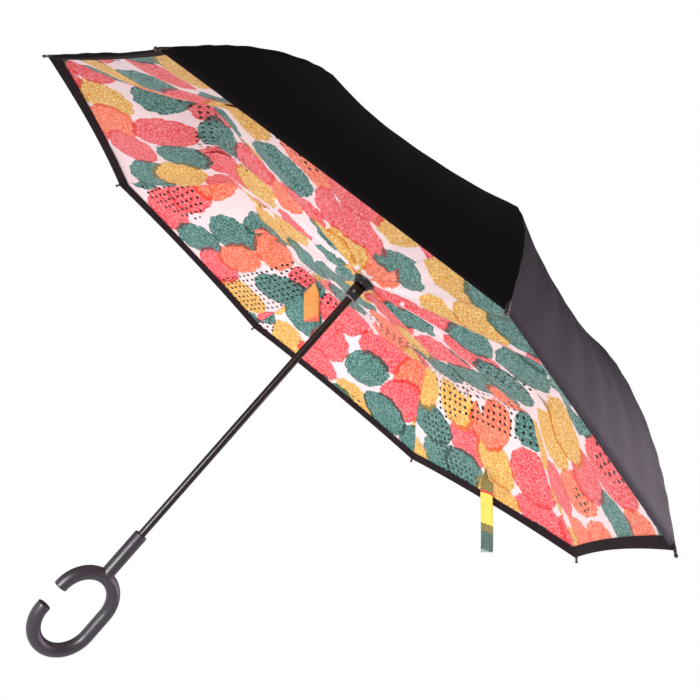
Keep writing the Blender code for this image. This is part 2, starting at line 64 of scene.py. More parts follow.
SHAFT_R = 0.0055
SHAFT_BORE_R = 0.0045
SHAFT_FOOT_Z = 0.0781
SHAFT_PAST_CROWN = 0.0120
CAP_ABOVE_CROWN = 0.0081

# The canopy's cut, its rows and columns, and how far it sags between two ribs
OUTER_LINE = (
    (0.0070, 0.2240), (0.0600, 0.2138), (0.1400, 0.1985), (0.2200, 0.1832), (0.2600, 0.1755),
    (0.3000, 0.1675), (0.3200, 0.1632), (0.3400, 0.1560), (0.3650, 0.1432), (0.3950, 0.1240),
    (0.4250, 0.1015), (0.4550, 0.0750), (0.4900, 0.0385), (0.5020, 0.0243), (0.5100, 0.0155),
    (0.5160, 0.0085), (0.5200, 0.0025), (0.5214, -0.0035),
)
LINING_LINE = (
    (0.0112, 0.0787), (0.0600, 0.0835), (0.1300, 0.0900), (0.2100, 0.0972), (0.2900, 0.1034),
    (0.3150, 0.1055), (0.3252, 0.1057), (0.3330, 0.1020), (0.3500, 0.0906), (0.3800, 0.0700),
    (0.4150, 0.0505), (0.4500, 0.0340), (0.4850, 0.0205), (0.5000, 0.0138), (0.5100, 0.0072),
    (0.5185, -0.0006),
)
HEM_LINE = ((0.5080, 0.0070), (0.5107, 0.0046), (0.5142, 0.0018), (0.5178, -0.0011), (0.5214, -0.0035))
CLOTH_ROW = 0.0075
HEM_ROW = 0.0030
LINE_STEPS = 24
HALF = 16
OUTER_SAG = 0.0135
LINING_SAG = 0.0060
SAG_POWER = 1.8
HEM_BOW = 0.0060
HEM_RISE = 0.0030
BOW_START = 0.75

# Heights of the soft folds, the fine creases and the puckers beside a seam
LINING_RELIEF = (0.0030, 0.0011, 0.0006)
OUTER_RELIEF = (0.0008, 0.0005, 0.0004)
PUCKER_REACH = 0.02
GORE_WIDTH = 0.3

# Closing: the lining's spare rows behind the side pieces
TUCK_ROWS = 5

# The straps hang along the photograph's own down, and face its camera
DOWN = Vector((0.4742, 0.4788, -0.7388)).normalized()
ACROSS = Vector((0.6521, 0.3728, 0.6602)).normalized()
STRAP_ROWS = 44
STRAP_THICK = 0.0010
STRAP_FRINGE = 0.0022
STRAP_WAVE = 0.0016
STRAP_BAND_REACH = 0.2
RIBBON_COLUMNS = 9
RIBBON_CUP = 0.05
RIBBON_SEAM = 0.0006
TIE_ROWS = 14
TIE_PAST_ELBOW = 0.0250
TIE_ABOVE_ROD = 0.0019
TIE_LENGTH = 0.0509
TIE_HALF_WIDTH = 0.0016
TIE_THICK = 0.0006
TIE_WAVE = 0.0006

# The C grip, about its own middle, and the turned parts' half outlines
GRIP_TUBE_R = 0.0096
GRIP_ARC_R = 0.0843 / 2.0
GRIP_HALF_HEIGHT = 0.1194 / 2.0
GRIP_TURN = math.radians(67.5)
MOUTH_TOP_Z = 0.0161
MOUTH_BOTTOM_Z = -0.0127
MOUTH_RUN = 0.0012
GRIP_ARC_STEPS = 40
GRIP_RUN_STEPS = 8
END_ROUND = 0.0012
END_ANGLES = (0.4, 0.8, 1.2, 1.5708)
NECK_OUTLINE = (
    (0.0, 0.1331), (0.0086, 0.1331), (0.00935, 0.1328), (0.0096, 0.1320), (0.0096, 0.0655),
    (0.0099, 0.0630), (0.0090, 0.0570), (0.0, 0.0570),
)
CAP_OUTLINE = (
    (0.0, 0.0330), (0.0042, 0.0330), (0.0053, 0.0327), (0.0060, 0.0319), (0.0063, 0.0306),
    (0.0077, 0.0052), (0.0081, 0.0040), (0.0090, 0.0031), (0.0112, 0.0024), (0.0118, 0.0019),
    (0.0120, 0.0012), (0.0119, 0.0005), (0.0114, 0.0), (0.0, 0.0),
)
FLARE_OUTLINE = (
    (0.0098, 0.0778), (0.0150, 0.0778), (0.0162, 0.0776), (0.0167, 0.0771), (0.0169, 0.0763),
    (0.0167, 0.0755), (0.0159, 0.0745), (0.0146, 0.0733), (0.0134, 0.0719), (0.0125, 0.0705),
    (0.0120, 0.0694), (0.0118, 0.0688), (0.0120, 0.0684), (0.0119, 0.0678), (0.0114, 0.0675),
    (0.0104, 0.0674), (0.0098, 0.0674),
)
SKIN_OUTLINE = ((0.0093, 0.0709), (0.0096, 0.0709), (0.0096, 0.0450), (0.0093, 0.0450))
LIP_OUTLINE = (
    (0.0060, 0.0450), (0.0097, 0.0450), (0.0099, 0.0443), (0.0097, 0.0434), (0.0089, 0.0427),
    (0.0060, 0.0427),
)
LATHE_STEPS = 64
TUBE_SIDES = 40
EDGE_BEVEL = 0.0002
BEVEL_SEGMENTS = 3
BEVEL_ANGLE = math.radians(28.0)
WELD = 1e-6

# The camera that was fitted to the photograph, and the stage
CAMERA_PLACE = (0.67443, -1.02032, 0.26621)
CAMERA_RIGHT = (0.65208, 0.37281, 0.66016)
CAMERA_AHEAD = (-0.59151, 0.79485, 0.13539)
FRAME_PX = 700.0
FOCAL_PX = 879.35
CENTRE_PX = (250.09, 337.60)
SENSOR_MM = 36.0
FLOOR_Z = -0.30
FLOOR_REACH = 9.0
FLOOR_LIGHT = (0.42, 1.30)
WORLD_LIGHT = 0.09

# The print, in metres of cloth or in shares of one cell, and its shift from one gore to the next
TURN = 6.283
PRINT_OFFSET = (0.31, 0.17, 0.0)
PRINT_SHIFT = (0.83, 0.59)
DAB_SIZE = 0.083
DAB_RANDOMNESS = 0.48
DAB_STRETCH = (1.16, 0.90, 0.0)
DAB_LEAST_RADIUS = 0.52
DAB_SPREAD = 0.10
DAB_COLOUR_STARTS = (0.0, 0.37, 0.66, 0.85)
LOBES = 5.5
LOBE_DEPTH = 0.035
RAGGED_SCALE = 150.0
RAGGED_DEPTH = 0.11
EDGE_GAIN = 55.0
OVERLAP_WIDTH = 0.11
OVERLAP_SHARE = 0.80
STREAK_SCALE = (22.0, 32.0, 0.0)
STREAK_GAIN = 8.0
STREAK_LEVEL = 3.70
STREAK_SHARE = 0.90
RING_GAP = 0.075
RING_WIDTH = 0.0055
RING_WOBBLE = 0.030
RING_SHARE = 0.55
DOT_DENSITY = 78.0
DOT_RANDOMNESS = 0.22
DOT_RADIUS = 0.23
DOT_PATCH_SCALE = 6.1
DOT_PATCH_LEVEL = 0.605
DOTS_FROM_HEM = 0.34

# Stitching beside the seams, in metres and stitches to the metre
STITCH_OFF_SEAM = 0.0022
THREAD_HALF_WIDTH = 0.0003
STITCH_DENSITY = 330.0
STITCH_SHARE = 0.62
JOIN_WIDTH = 0.0009
JOIN_SHARE = 0.16
THREAD_SHARE = 0.25
JOIN_TONE = (0.004, 0.003, 0.003, 1.0)
THREAD_TONE = (0.02, 0.016, 0.018, 1.0)
THREAD_RELIEF = 0.5
CLOTH_RELIEF = 0.0012
PLASTIC_RELIEF = 0.0002
PLASTIC_GRAIN = 900.0


# Nodes

def new_material(name):
    made = bpy.data.materials.new(name)
    made.use_nodes = True
    return made, made.node_tree, made.node_tree.nodes["Principled BSDF"]


def put(tree, kind, values=None, **settings):
    """Adds a node, sets its properties, and fills its inputs with sockets or numbers."""
    node = tree.nodes.new(kind)
    for key, value in settings.items():
        setattr(node, key, value)
    for key, value in (values or {}).items():
        if isinstance(value, bpy.types.NodeSocket):
            tree.links.new(value, node.inputs[key])
        else:
            node.inputs[key].default_value = value
    return node


def calc(tree, operation, first, second=0.0, third=None, clamp=False):
    values = {0: first, 1: second}
    if third is not None:
        values[2] = third
    return put(tree, "ShaderNodeMath", values, operation=operation, use_clamp=clamp).outputs[0]


def vector(tree, operation, values):
    return put(tree, "ShaderNodeVectorMath", values, operation=operation).outputs


def mix(tree, share, first, second, blend="MIX"):
    node = put(tree, "ShaderNodeMix", {0: share, 6: first, 7: second}, data_type="RGBA", blend_type=blend)
    return node.outputs[2]


def bands(tree, value, stops):
    """Flat colours, each from its own stop to the next."""
    node = put(tree, "ShaderNodeValToRGB", {0: value})
    band = node.color_ramp
    band.interpolation = "CONSTANT"
    while len(band.elements) < len(stops):
        band.elements.new(0.5)
    for element, (place, colour) in zip(band.elements, stops):
        element.position = place
        element.color = (*colour, 1.0)
    return node.outputs[0]


def noise(tree, place, scale, detail=2.0, rough=0.5, distort=0.0):
    return put(tree, "ShaderNodeTexNoise", {
        "Vector": place, "Scale": scale, "Detail": detail, "Roughness": rough, "Distortion": distort,
    }).outputs[0]


def cell_points(tree, place, scale, randomness, feature):
    return put(tree, "ShaderNodeTexVoronoi", {"Vector": place, "Scale": scale, "Randomness": randomness},
               voronoi_dimensions="2D", feature=feature).outputs


def uv(tree, name):
    return put(tree, "ShaderNodeUVMap", uv_map=name).outputs[0]


def bump(tree, shader, height, strength, distance):
    node = put(tree, "ShaderNodeBump", {"Height": height, "Strength": strength, "Distance": distance})
    tree.links.new(node.outputs[0], shader.inputs["Normal"])


def linear(red, green, blue):
    """A colour as read off a screen, from 0 to 255, in linear light."""
    out = []
    for value in (red, green, blue):
        share = value / 255.0
        out.append(share / 12.92 if share <= 0.04045 else ((share + 0.055) / 1.055) ** 2.4)
    return tuple(out)


def rgba(red, green, blue):
    return (*linear(red, green, blue), 1.0)


# The print: generic scalloped dabs, streaks and dots, in a layout of their own

TEAL = linear(32, 98, 90)
CORAL = linear(236, 52, 64)
ORANGE = linear(246, 92, 56)
MUSTARD = linear(222, 150, 44)
PALE_TEAL = linear(138, 178, 172)
PALE_CORAL = linear(255, 158, 162)
PALE_ORANGE = linear(255, 178, 150)
PALE_MUSTARD = linear(255, 226, 150)
PINK = linear(255, 230, 232)
PINK_SHADE = linear(248, 220, 224)
INK = (*linear(20, 12, 14), 1.0)
DEEP_STOPS = tuple(zip(DAB_COLOUR_STARTS, (TEAL, CORAL, MUSTARD, ORANGE)))
PALE_STOPS = tuple(zip(DAB_COLOUR_STARTS, (PALE_TEAL, PALE_CORAL, PALE_MUSTARD, PALE_ORANGE)))


def dab(tree, moved, feature):
    """One dab round the nearest or second nearest cell point: depth inside it, colour and rank."""
    cells = cell_points(tree, moved, 1.0 / DAB_SIZE, DAB_RANDOMNESS, feature)
    away = vector(tree, "SUBTRACT", {0: moved, 1: cells["Position"]})[0]
    local = vector(tree, "SCALE", {0: away, 3: 1.0 / DAB_SIZE})[0]
    pick = put(tree, "ShaderNodeSeparateColor", {0: cells["Color"]}).outputs
    angle = calc(tree, "MULTIPLY", pick[0], TURN)
    turned = put(tree, "ShaderNodeVectorRotate", {"Vector": local, "Angle": angle},
                 rotation_type="Z_AXIS").outputs[0]
    shaped = vector(tree, "MULTIPLY", {0: turned, 1: DAB_STRETCH})[0]
    length = vector(tree, "LENGTH", {0: shaped})["Value"]
    parts = put(tree, "ShaderNodeSeparateXYZ", {0: shaped}).outputs
    bearing = calc(tree, "ARCTAN2", parts[1], parts[0])
    lobes = calc(tree, "ABSOLUTE", calc(tree, "SINE", calc(tree, "MULTIPLY_ADD", bearing, LOBES, angle)))
    ragged = noise(tree, moved, RAGGED_SCALE, 3.0, 0.6)
    radius = calc(tree, "MULTIPLY_ADD", pick[2], DAB_SPREAD, DAB_LEAST_RADIUS)
    edge = calc(tree, "MULTIPLY_ADD", lobes, LOBE_DEPTH, radius)
    edge = calc(tree, "ADD", edge, calc(tree, "MULTIPLY_ADD", ragged, RAGGED_DEPTH, -RAGGED_DEPTH / 2.0))
    depth = calc(tree, "SUBTRACT", edge, length)
    deep = bands(tree, pick[1], DEEP_STOPS)
    light = bands(tree, pick[1], PALE_STOPS)
    brushed = vector(tree, "MULTIPLY", {0: turned, 1: STREAK_SCALE})[0]
    streaks = noise(tree, brushed, 1.0, 1.0, 0.60, 1.2)
    pale = calc(tree, "MULTIPLY_ADD", streaks, STREAK_GAIN, -STREAK_LEVEL, clamp=True)
    colour = mix(tree, calc(tree, "MULTIPLY", pale, STREAK_SHARE), deep, light)
    ring = calc(tree, "PINGPONG", calc(tree, "MULTIPLY_ADD", ragged, RING_WOBBLE, length), RING_GAP)
    line = calc(tree, "LESS_THAN", ring, RING_WIDTH)
    colour = mix(tree, calc(tree, "MULTIPLY", line, RING_SHARE), colour, deep, "MULTIPLY")
    return depth, colour, pick[0]


def print_colour(tree, plane):
    """Two dabs, the one of higher rank on top and darker along their overlap, and loose dots."""
    shown = mix(tree, noise(tree, plane, 7.0, 2.0), (*PINK, 1.0), (*PINK_SHADE, 1.0))
    moved = vector(tree, "ADD", {0: plane, 1: PRINT_OFFSET})[0]
    near, near_colour, near_rank = dab(tree, moved, "F1")
    far, far_colour, far_rank = dab(tree, moved, "F2")
    swap = calc(tree, "GREATER_THAN", near_rank, far_rank)
    low = calc(tree, "MULTIPLY_ADD", swap, calc(tree, "SUBTRACT", far, near), near)
    top = calc(tree, "MULTIPLY_ADD", swap, calc(tree, "SUBTRACT", near, far), far)
    low_cover = calc(tree, "MULTIPLY", low, EDGE_GAIN, clamp=True)
    shown = mix(tree, low_cover, shown, mix(tree, swap, near_colour, far_colour))
    tone = mix(tree, swap, far_colour, near_colour)
    overlap = calc(tree, "MULTIPLY", low_cover, calc(tree, "LESS_THAN", top, OVERLAP_WIDTH))
    darker = mix(tree, 1.0, shown, tone, "MULTIPLY")
    tone = mix(tree, calc(tree, "MULTIPLY", overlap, OVERLAP_SHARE), tone, darker)
    shown = mix(tree, calc(tree, "MULTIPLY", top, EDGE_GAIN, clamp=True), shown, tone)
    dots = cell_points(tree, plane, DOT_DENSITY, DOT_RANDOMNESS, "F1")["Distance"]
    patch = calc(tree, "GREATER_THAN", noise(tree, plane, DOT_PATCH_SCALE, 0.0), DOT_PATCH_LEVEL)
    from_hem = put(tree, "ShaderNodeSeparateXYZ", {0: uv(tree, "seam")}).outputs[1]
    patch = calc(tree, "MULTIPLY", patch, calc(tree, "LESS_THAN", from_hem, DOTS_FROM_HEM))
    dotted = calc(tree, "MULTIPLY", calc(tree, "LESS_THAN", dots, DOT_RADIUS), patch)
    return mix(tree, dotted, shown, INK)


# Cloth and moulded finishes

def weave_height(tree, plane, threads):
    """Warp and weft as two crossing waves, in threads to the metre, over soft creases."""
    parts = put(tree, "ShaderNodeSeparateXYZ", {0: plane}).outputs
    warp = calc(tree, "SINE", calc(tree, "MULTIPLY", parts[0], threads * TURN))
    weft = calc(tree, "SINE", calc(tree, "MULTIPLY", parts[1], threads * TURN))
    crossed = calc(tree, "MULTIPLY", warp, weft)
    crease = noise(tree, plane, 22.0, 4.0, 0.6, 0.6)
    return calc(tree, "MULTIPLY_ADD", crossed, 0.08, crease)


def stitches(tree, seam):
    """Where the thread shows, as short dashes beside the seam over a rib, and where the join does."""
    parts = put(tree, "ShaderNodeSeparateXYZ", {0: seam}).outputs
    off_thread = calc(tree, "ABSOLUTE", calc(tree, "SUBTRACT", parts[0], STITCH_OFF_SEAM))
    beside = calc(tree, "LESS_THAN", off_thread, THREAD_HALF_WIDTH)
    dash = calc(tree, "FRACT", calc(tree, "MULTIPLY", parts[1], STITCH_DENSITY))
    thread = calc(tree, "MULTIPLY", beside, calc(tree, "LESS_THAN", dash, STITCH_SHARE))
    return thread, calc(tree, "LESS_THAN", parts[0], JOIN_WIDTH)


def cloth_finish(tree, shader, plane, tone, rough, spread, threads, strength):
    """Seam, thread, weave and uneven gloss, shared by all the cloths."""
    thread, join = stitches(tree, uv(tree, "seam"))
    tone = mix(tree, calc(tree, "MULTIPLY", join, JOIN_SHARE), tone, JOIN_TONE)
    tone = mix(tree, calc(tree, "MULTIPLY", thread, THREAD_SHARE), tone, THREAD_TONE)
    tree.links.new(tone, shader.inputs["Base Color"])
    gloss = calc(tree, "MULTIPLY_ADD", noise(tree, plane, 160.0, 3.0), spread, rough - spread / 2.0)
    tree.links.new(gloss, shader.inputs["Roughness"])
    height = calc(tree, "MULTIPLY_ADD", thread, THREAD_RELIEF, weave_height(tree, plane, threads))
    bump(tree, shader, height, strength, CLOTH_RELIEF)


def print_material():
    made, tree, shader = new_material("printed_pongee")
    plane = uv(tree, "plane")
    shader.inputs["Specular IOR Level"].default_value = 0.22
    shader.inputs["Sheen Weight"].default_value = 0.08
    cloth_finish(tree, shader, plane, print_colour(tree, plane), 0.62, 0.16, 900.0, 0.30)
    return made


def black_cloth_material(name, dark, light, threads, specular, rough):
    made, tree, shader = new_material(name)
    plane = uv(tree, "plane")
    shader.inputs["Specular IOR Level"].default_value = specular
    tone = mix(tree, noise(tree, plane, 9.0, 4.0, 0.6), dark, light)
    cloth_finish(tree, shader, plane, tone, rough, 0.10, threads, 0.35)
    return made


def strap_material(name, stops):
    """Patches of colour one after the other down the strap, with ragged edges between them."""
    made, tree, shader = new_material(name)
    plane = uv(tree, "plane")
    parts = put(tree, "ShaderNodeSeparateXYZ", {0: plane}).outputs
    ragged = noise(tree, plane, 190.0, 3.0, 0.6)
    slanted = calc(tree, "MULTIPLY_ADD", parts[0], -0.35, parts[1])
    place = calc(tree, "MULTIPLY_ADD", ragged, 0.006, calc(tree, "SUBTRACT", slanted, 0.003))
    tone = bands(tree, calc(tree, "MULTIPLY", place, 1.0 / STRAP_BAND_REACH), stops)
    streaks = noise(tree, plane, 520.0, 3.0, 0.7, 0.8)
    pale = calc(tree, "MULTIPLY_ADD", streaks, 3.4, -1.45, clamp=True)
    tone = mix(tree, calc(tree, "MULTIPLY", pale, 0.35), tone, (*PINK, 1.0))
    shader.inputs["Specular IOR Level"].default_value = 0.2
    cloth_finish(tree, shader, plane, tone, 0.62, 0.16, 900.0, 0.30)
    return made


def solid_material(name, dark, light, rough, scale, metallic=0.0, strength=0.15, specular=0.5):
    """Moulded or painted finish: soft tone changes, a fine grain and uneven gloss."""
    made, tree, shader = new_material(name)
    place = put(tree, "ShaderNodeTexCoord").outputs["Object"]
    cloud = noise(tree, place, scale, 4.0, 0.6)
    tree.links.new(mix(tree, cloud, dark, light), shader.inputs["Base Color"])
    gloss = calc(tree, "MULTIPLY_ADD", noise(tree, place, scale * 3.0, 3.0), 0.14, rough - 0.07)
    tree.links.new(gloss, shader.inputs["Roughness"])
    shader.inputs["Metallic"].default_value = metallic
    shader.inputs["Specular IOR Level"].default_value = specular
    bump(tree, shader, noise(tree, place, PLASTIC_GRAIN, 2.0), strength, PLASTIC_RELIEF)
    return made


OLIVE = linear(120, 120, 48)
RED = linear(214, 40, 44)
# The strap's own yellow, made lighter than MUSTARD as painted light: it stands in for the light that falls on
# the rim strap
PAINTED_LIT_YELLOW = linear(255, 232, 84)
PRINT = print_material()
OUTER = black_cloth_material("black_pongee", rgba(9, 5, 8), rgba(15, 10, 14),
                             threads=900.0, specular=0.14, rough=0.60)
HEM = black_cloth_material("hem_tape", rgba(34, 26, 30), rgba(46, 36, 41),
                           threads=700.0, specular=0.04, rough=0.75)
# The rim strap's yellow band is partly its own yellow and partly painted light
RIM_RIBBON = strap_material("rim_ribbon_cloth", (
    (0.0, OLIVE), (0.155, RED), (0.175, PAINTED_LIT_YELLOW), (0.425, OLIVE), (0.490, TEAL), (0.640, PALE_TEAL)))
MID_RIBBON = strap_material("mid_ribbon_cloth", ((0.0, OLIVE), (0.012, MUSTARD), (0.290, ORANGE)))
GRIP = solid_material("grip_plastic", rgba(41, 36, 43), rgba(49, 43, 51), rough=0.39, scale=40.0, strength=0.04)
BLACK = solid_material("black_plastic", rgba(9, 5, 6), rgba(15, 10, 11), rough=0.30, scale=60.0, specular=0.35)
LIP = solid_material("grey_lip", rgba(98, 92, 104), rgba(124, 118, 130), rough=0.30, scale=120.0)
SHAFT = solid_material("painted_tube", rgba(22, 14, 14), rgba(32, 23, 23), rough=0.32, scale=30.0,
                       strength=0.04, specular=0.35)
STEEL = solid_material("black_steel", rgba(26, 24, 26), rgba(44, 41, 43), rough=0.36, scale=80.0, metallic=0.7)
WIRE = solid_material("bright_wire", rgba(150, 150, 152), rgba(182, 182, 184),
                      rough=0.30, scale=90.0, metallic=1.0)
FIBRE = solid_material("glass_fibre", rgba(22, 20, 22), rgba(38, 35, 38), rough=0.42, scale=120.0)
TIP = solid_material("tip_plastic", rgba(40, 30, 30), rgba(70, 55, 52), rough=0.35, scale=150.0)
TAPE = black_cloth_material("tie_tape", rgba(24, 20, 22), rgba(36, 31, 34),
                            threads=700.0, specular=0.2, rough=0.6)


# Meshes

def new_object(name, mesh, material):
    made = bpy.data.objects.new(name, mesh)
    bpy.context.scene.collection.objects.link(made)
    mesh.materials.append(material)
    mesh.shade_smooth()
    return made


def smooth_line(points, spacing):
    """Points a fixed distance apart on a smooth curve through the given ones, and how far along each is."""
    places = [np.array(p, float) for p in points]
    places = [2.0 * places[0] - places[1]] + places + [2.0 * places[-1] - places[-2]]
    dense = []
    for i in range(1, len(places) - 2):
        before, start, end, after = places[i - 1:i + 3]
        first = np.linalg.norm(start - before) ** 0.5
        second = np.linalg.norm(end - start) ** 0.5
        third = np.linalg.norm(after - end) ** 0.5
        leave = (start - before) / first - (end - before) / (first + second) + (end - start) / second
        reach = (end - start) / second - (after - start) / (second + third) + (after - end) / third
        for t in np.linspace(0.0, 1.0, LINE_STEPS, endpoint=False):
            dense.append((2 * t ** 3 - 3 * t ** 2 + 1) * start + (t ** 3 - 2 * t ** 2 + t) * leave * second
                         + (3 * t ** 2 - 2 * t ** 3) * end + (t ** 3 - t ** 2) * reach * second)
    dense.append(places[-2])
    dense = np.array(dense)
    along = np.r_[0.0, np.cumsum(np.linalg.norm(np.diff(dense, axis=0), axis=1))]
    count = max(3, int(round(along[-1] / spacing)) + 1)
    at = np.linspace(0.0, along[-1], count)
    return np.c_[np.interp(at, along, dense[:, 0]), np.interp(at, along, dense[:, 1])], at


def pucker(gore, t, along, density, sway):
    near = np.exp(-((np.minimum(t, 1.0 - t) * GORE_WIDTH) / PUCKER_REACH) ** 2)
    return np.sin(along * density + 2.0 * np.sin(along * sway + gore)) * near


def fade(along, total, from_hem):
    return np.clip((total - along) / from_hem, 0.0, 1.0) * np.clip(along / 0.05, 0.0, 1.0)


def lining_folds(gore, t, along, total):
    """How far the lining's folds stand out, at t from 0 to 1 between two ribs."""
    belly = 4.0 * t * (1.0 - t)
    fold, crease, gathered = LINING_RELIEF
    slow = np.sin(2.0 * np.pi * (1.5 * t + 0.6 * np.sin(1.3 * gore + 4.0 * along) + 0.37 * gore))
    fine = np.sin(2.0 * np.pi * (4.6 * t + 0.22 * np.sin(9.0 * along + gore) + 0.21 * gore))
    return fade(along, total, 0.06) * (
        fold * slow * belly + crease * fine * belly ** 0.5 + gathered * pucker(gore, t, along, 210.0, 40.0))


def outer_folds(gore, t, along, total):
    """As the lining's, but shallower, and with creases only on the side."""
    belly = 4.0 * t * (1.0 - t)
    fold, crease, gathered = OUTER_RELIEF
    late = np.clip((along - 0.30) / 0.12, 0.0, 1.0)
    slow = np.sin(2.0 * np.pi * (1.1 * t + 0.5 * np.sin(1.9 * gore + 3.0 * along) + 0.61 * gore))
    fine = np.sin(2.0 * np.pi * (6.0 * t + 0.3 * np.sin(11.0 * along + 2.0 * gore) + 0.43 * gore))
    return fade(along, total, 0.05) * (
        fold * slow * belly + crease * fine * belly ** 0.5 * late
        + gathered * pucker(gore, t, along, 180.0, 37.0))


def no_folds(gore, t, along, total):
    return np.zeros_like(t)


def gore_sheet(gore, line, along, sag, folds, side):
    """One whole gore's places and normals, and its flat places and seam distances as UVs."""
    slope = np.gradient(line, along, axis=0)
    slope /= np.linalg.norm(slope, axis=1, keepdims=True)
    t, s = np.meshgrid(np.linspace(0.0, 1.0, 2 * HALF + 1), along)
    radius, height = line[:, :1] + 0.0 * t, line[:, 1:] + 0.0 * t
    belly = 4.0 * t * (1.0 - t)
    at = radius / HEM_REACH
    drop = sag * np.sin(np.pi * np.clip(at, 0.0, 1.0) ** SAG_POWER)
    bow = np.clip((at - BOW_START) / (1.0 - BOW_START), 0.0, None) ** 2
    first, middle, second = gore * STEP, (gore + 0.5) * STEP, (gore + 1.0) * STEP
    fold = folds(gore, t, s, along[-1])
    out = -slope[:, 1:] * fold - HEM_BOW * bow * belly
    x = radius * ((1 - t) * math.cos(first) + t * math.cos(second)) + math.cos(middle) * out
    y = radius * ((1 - t) * math.sin(first) + t * math.sin(second)) + math.sin(middle) * out
    z = RIM_Z + height + (HEM_RISE * bow - drop) * belly + slope[:, :1] * fold
    places = np.stack([x, y, z], axis=-1)
    normals = np.cross(np.gradient(places, axis=0, edge_order=2), np.gradient(places, axis=1, edge_order=2))
    normals *= side / np.linalg.norm(normals, axis=-1, keepdims=True)
    chord = 2.0 * radius * math.sin(STEP / 2.0)
    flat = np.stack([(t - 0.5) * chord + PRINT_SHIFT[0] * gore, s + PRINT_SHIFT[1] * gore], axis=-1)
    seam = np.stack([np.minimum(t, 1.0 - t) * chord, along[-1] - s], axis=-1)
    return places, normals, flat, seam


def tuck(layers, k):
    """Lead the last rows up behind the side cloth, to where its edge is once the rod is straight."""
    places = layers[0].copy()
    out = np.array((math.cos(k * STEP), math.sin(k * STEP), 0.0))
    elbow = FLEX_R * out + np.array((0.0, 0.0, RIM_Z + FLEX_Z))
    edge = places[-1 - TUCK_ROWS] - elbow
    reach, height = edge @ out, edge[:, 2]
    turned_reach = reach * math.cos(STRAIGHTEN) - height * math.sin(STRAIGHTEN)
    turned_height = reach * math.sin(STRAIGHTEN) + height * math.cos(STRAIGHTEN)
    end = places[-1 - TUCK_ROWS] + (turned_reach - reach)[:, None] * out
    end[:, 2] += turned_height - height
    share = np.arange(1, TUCK_ROWS + 1)[:, None, None] / TUCK_ROWS
    places[-TUCK_ROWS:] += share * (end - places[-1])
    return [places] + layers[1:]


def rib_sheet(name, k, gores, rows, side, material, tucked=False):
    """The cloth on both sides of rib k, out to the middle of each gore, over some of its rows."""
    before = [layer[rows, HALF:] for layer in gores[(k - 1) % RIBS]]
    after = [layer[rows, :HALF + 1] for layer in gores[k]]
    if tucked:
        before, after = tuck(before, k), tuck(after, k)
    columns = 2 * HALF + 1
    places = np.concatenate([before[0][:, :-1], after[0]], axis=1)
    faces, corners = [], []
    for i in range(len(places) - 1):
        for j in range(columns - 1):
            ring = [(i, j), (i + 1, j), (i + 1, j + 1), (i, j + 1)]
            ring = ring if side > 0.0 else ring[::-1]
            faces.append([row * columns + column for row, column in ring])
            part, start = (before, 0) if j < HALF else (after, HALF)
            corners += [(part, row, column - start) for row, column in ring]
    mesh = bpy.data.meshes.new(name)
    mesh.from_pydata(places.reshape(-1, 3).tolist(), [], faces)
    for label, index in (("plane", 2), ("seam", 3)):
        layer = mesh.uv_layers.new(name=label)
        flat = np.array([part[index][row, column] for part, row, column in corners])
        layer.data.foreach_set("uv", flat.ravel())
    made = new_object(name, mesh, material)
    mesh.normals_split_custom_set([part[1][row, column].tolist() for part, row, column in corners])
    made["cut"] = float(sum(face.area for face in mesh.polygons))
    return made


def squash_to_rib(piece):
    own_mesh(piece)


def squash_sheet(piece, body):
    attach(piece, body)
    squash_to_rib(piece)


def make_layer(label, outline, sag, folds, bend, side, material, inner_body, node, spare_rows):
    """One of the two cloths: a roof piece over each rib, and a side piece over each rod."""
    line, along = smooth_line(outline, CLOTH_ROW)
    cut = int(np.argmin(abs(line[:, 0] - bend)))
    last = cut + spare_rows
    gores = [gore_sheet(gore, line, along, sag, folds, side) for gore in range(RIBS)]
    for k in range(RIBS):
        number = k + 1
        roof = rib_sheet("%s_roof_%d" % (label, number), k, gores, slice(0, last + 1), side, material,
                         tucked=spare_rows > 0)
        squash_sheet(roof, inner_body % number)
        wall = rib_sheet("%s_side_%d" % (label, number), k, gores, slice(cut, None), side, material)
        squash_sheet(wall, "rod_arm_%d" % number)
        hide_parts(node)
        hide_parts(node)


def make_canopy():
    make_layer("outer", OUTER_LINE, OUTER_SAG, outer_folds, bend=ELBOW_R, side=1.0, material=OUTER,
               inner_body="stretcher_arm_%d", node="outer_canopy", spare_rows=0)
    make_layer("lining", LINING_LINE, LINING_SAG, lining_folds, bend=FLEX_R, side=-1.0, material=PRINT,
               inner_body="rib_arm_%d", node="lining", spare_rows=TUCK_ROWS)
    line, along = smooth_line(HEM_LINE, HEM_ROW)
    gores = [gore_sheet(gore, line, along, LINING_SAG, no_folds, -1.0) for gore in range(RIBS)]
    for k in range(RIBS):
        number = k + 1
        band = rib_sheet("hem_%d" % number, k, gores, slice(None), -1.0, HEM)
        squash_sheet(band, "rod_arm_%d" % number)
        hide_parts("hem_band")


def solid_mesh(name, vertices, faces, weld=False):
    """A mesh with its faces turned outwards, its doubled points welded first where asked."""
    mesh = bpy.data.meshes.new(name)
    mesh.from_pydata(vertices, [], faces)
    bm = bmesh.new()
    bm.from_mesh(mesh)
    if weld:
        bmesh.ops.remove_doubles(bm, verts=bm.verts, dist=WELD)
        bmesh.ops.dissolve_degenerate(bm, edges=bm.edges, dist=WELD / 10.0)
    bmesh.ops.recalc_face_normals(bm, faces=bm.faces)
    bm.to_mesh(mesh)
    bm.free()
    return mesh


